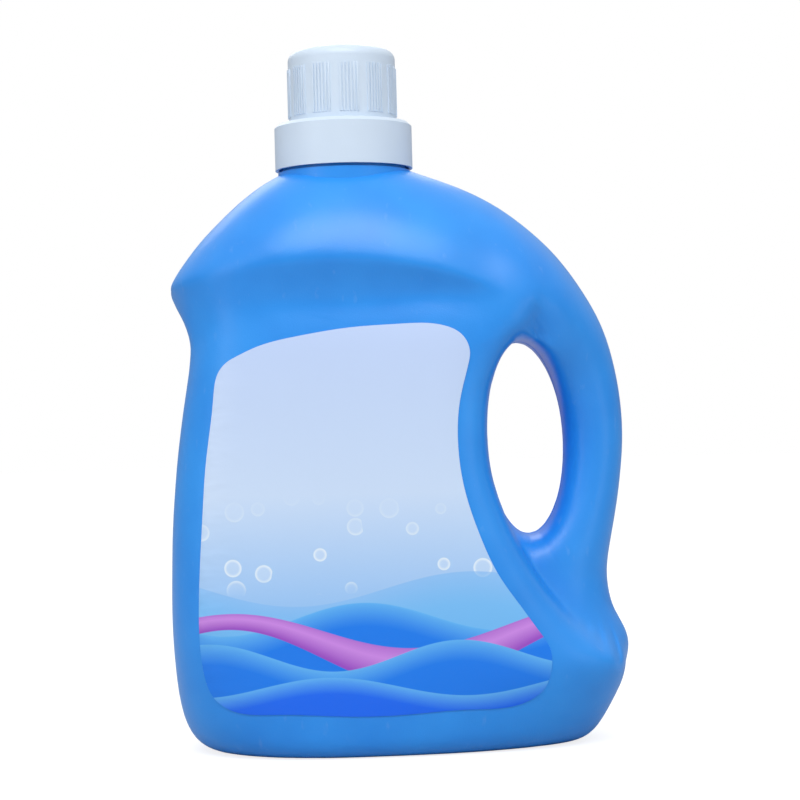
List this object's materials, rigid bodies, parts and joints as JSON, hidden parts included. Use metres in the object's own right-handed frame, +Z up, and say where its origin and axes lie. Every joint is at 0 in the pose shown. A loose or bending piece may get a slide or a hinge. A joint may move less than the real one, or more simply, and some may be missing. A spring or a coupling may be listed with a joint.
{
  "type": "laundry detergent bottle",
  "caption": "Blow-moulded bottle with a handle through its side, a pouring spout in the neck and a screw-on measuring cap; plain patterned labels front and back.",
  "frame": {"origin": "centre of the bounding box on the plane that the bottle stands on", "axes": "+Z up along the neck, front label faces -Y, handle on the +X side"},
  "size_m": [0.1992, 0.0964, 0.3045],
  "materials": {
    "bottle": "satin blow-moulded",
    "spout": "satin moulded",
    "seal": "fine foam",
    "cap": "satin moulded",
    "front_label": "satin film",
    "back_label": "satin film"
  },
  "bodies": {
    "bottle": {"bottle": "bottle", "pour_spout": "spout", "front_label": "front_label", "back_label": "back_label"},
    "seal": {"seal_ring": "seal"},
    "cap": {"cap": "cap"}
  },
  "joints": [
    {"name": "cap_lift", "type": "slide", "parent": "bottle", "child": "seal", "axis": [0, 0, 1], "range_m": [0, 0.06]},
    {"name": "cap_turn", "type": "hinge", "parent": "seal", "child": "cap", "pos_m": [-0.02, 0, 0.27], "axis": [0, 0, 1], "range_deg": [0, 450]}
  ]
}
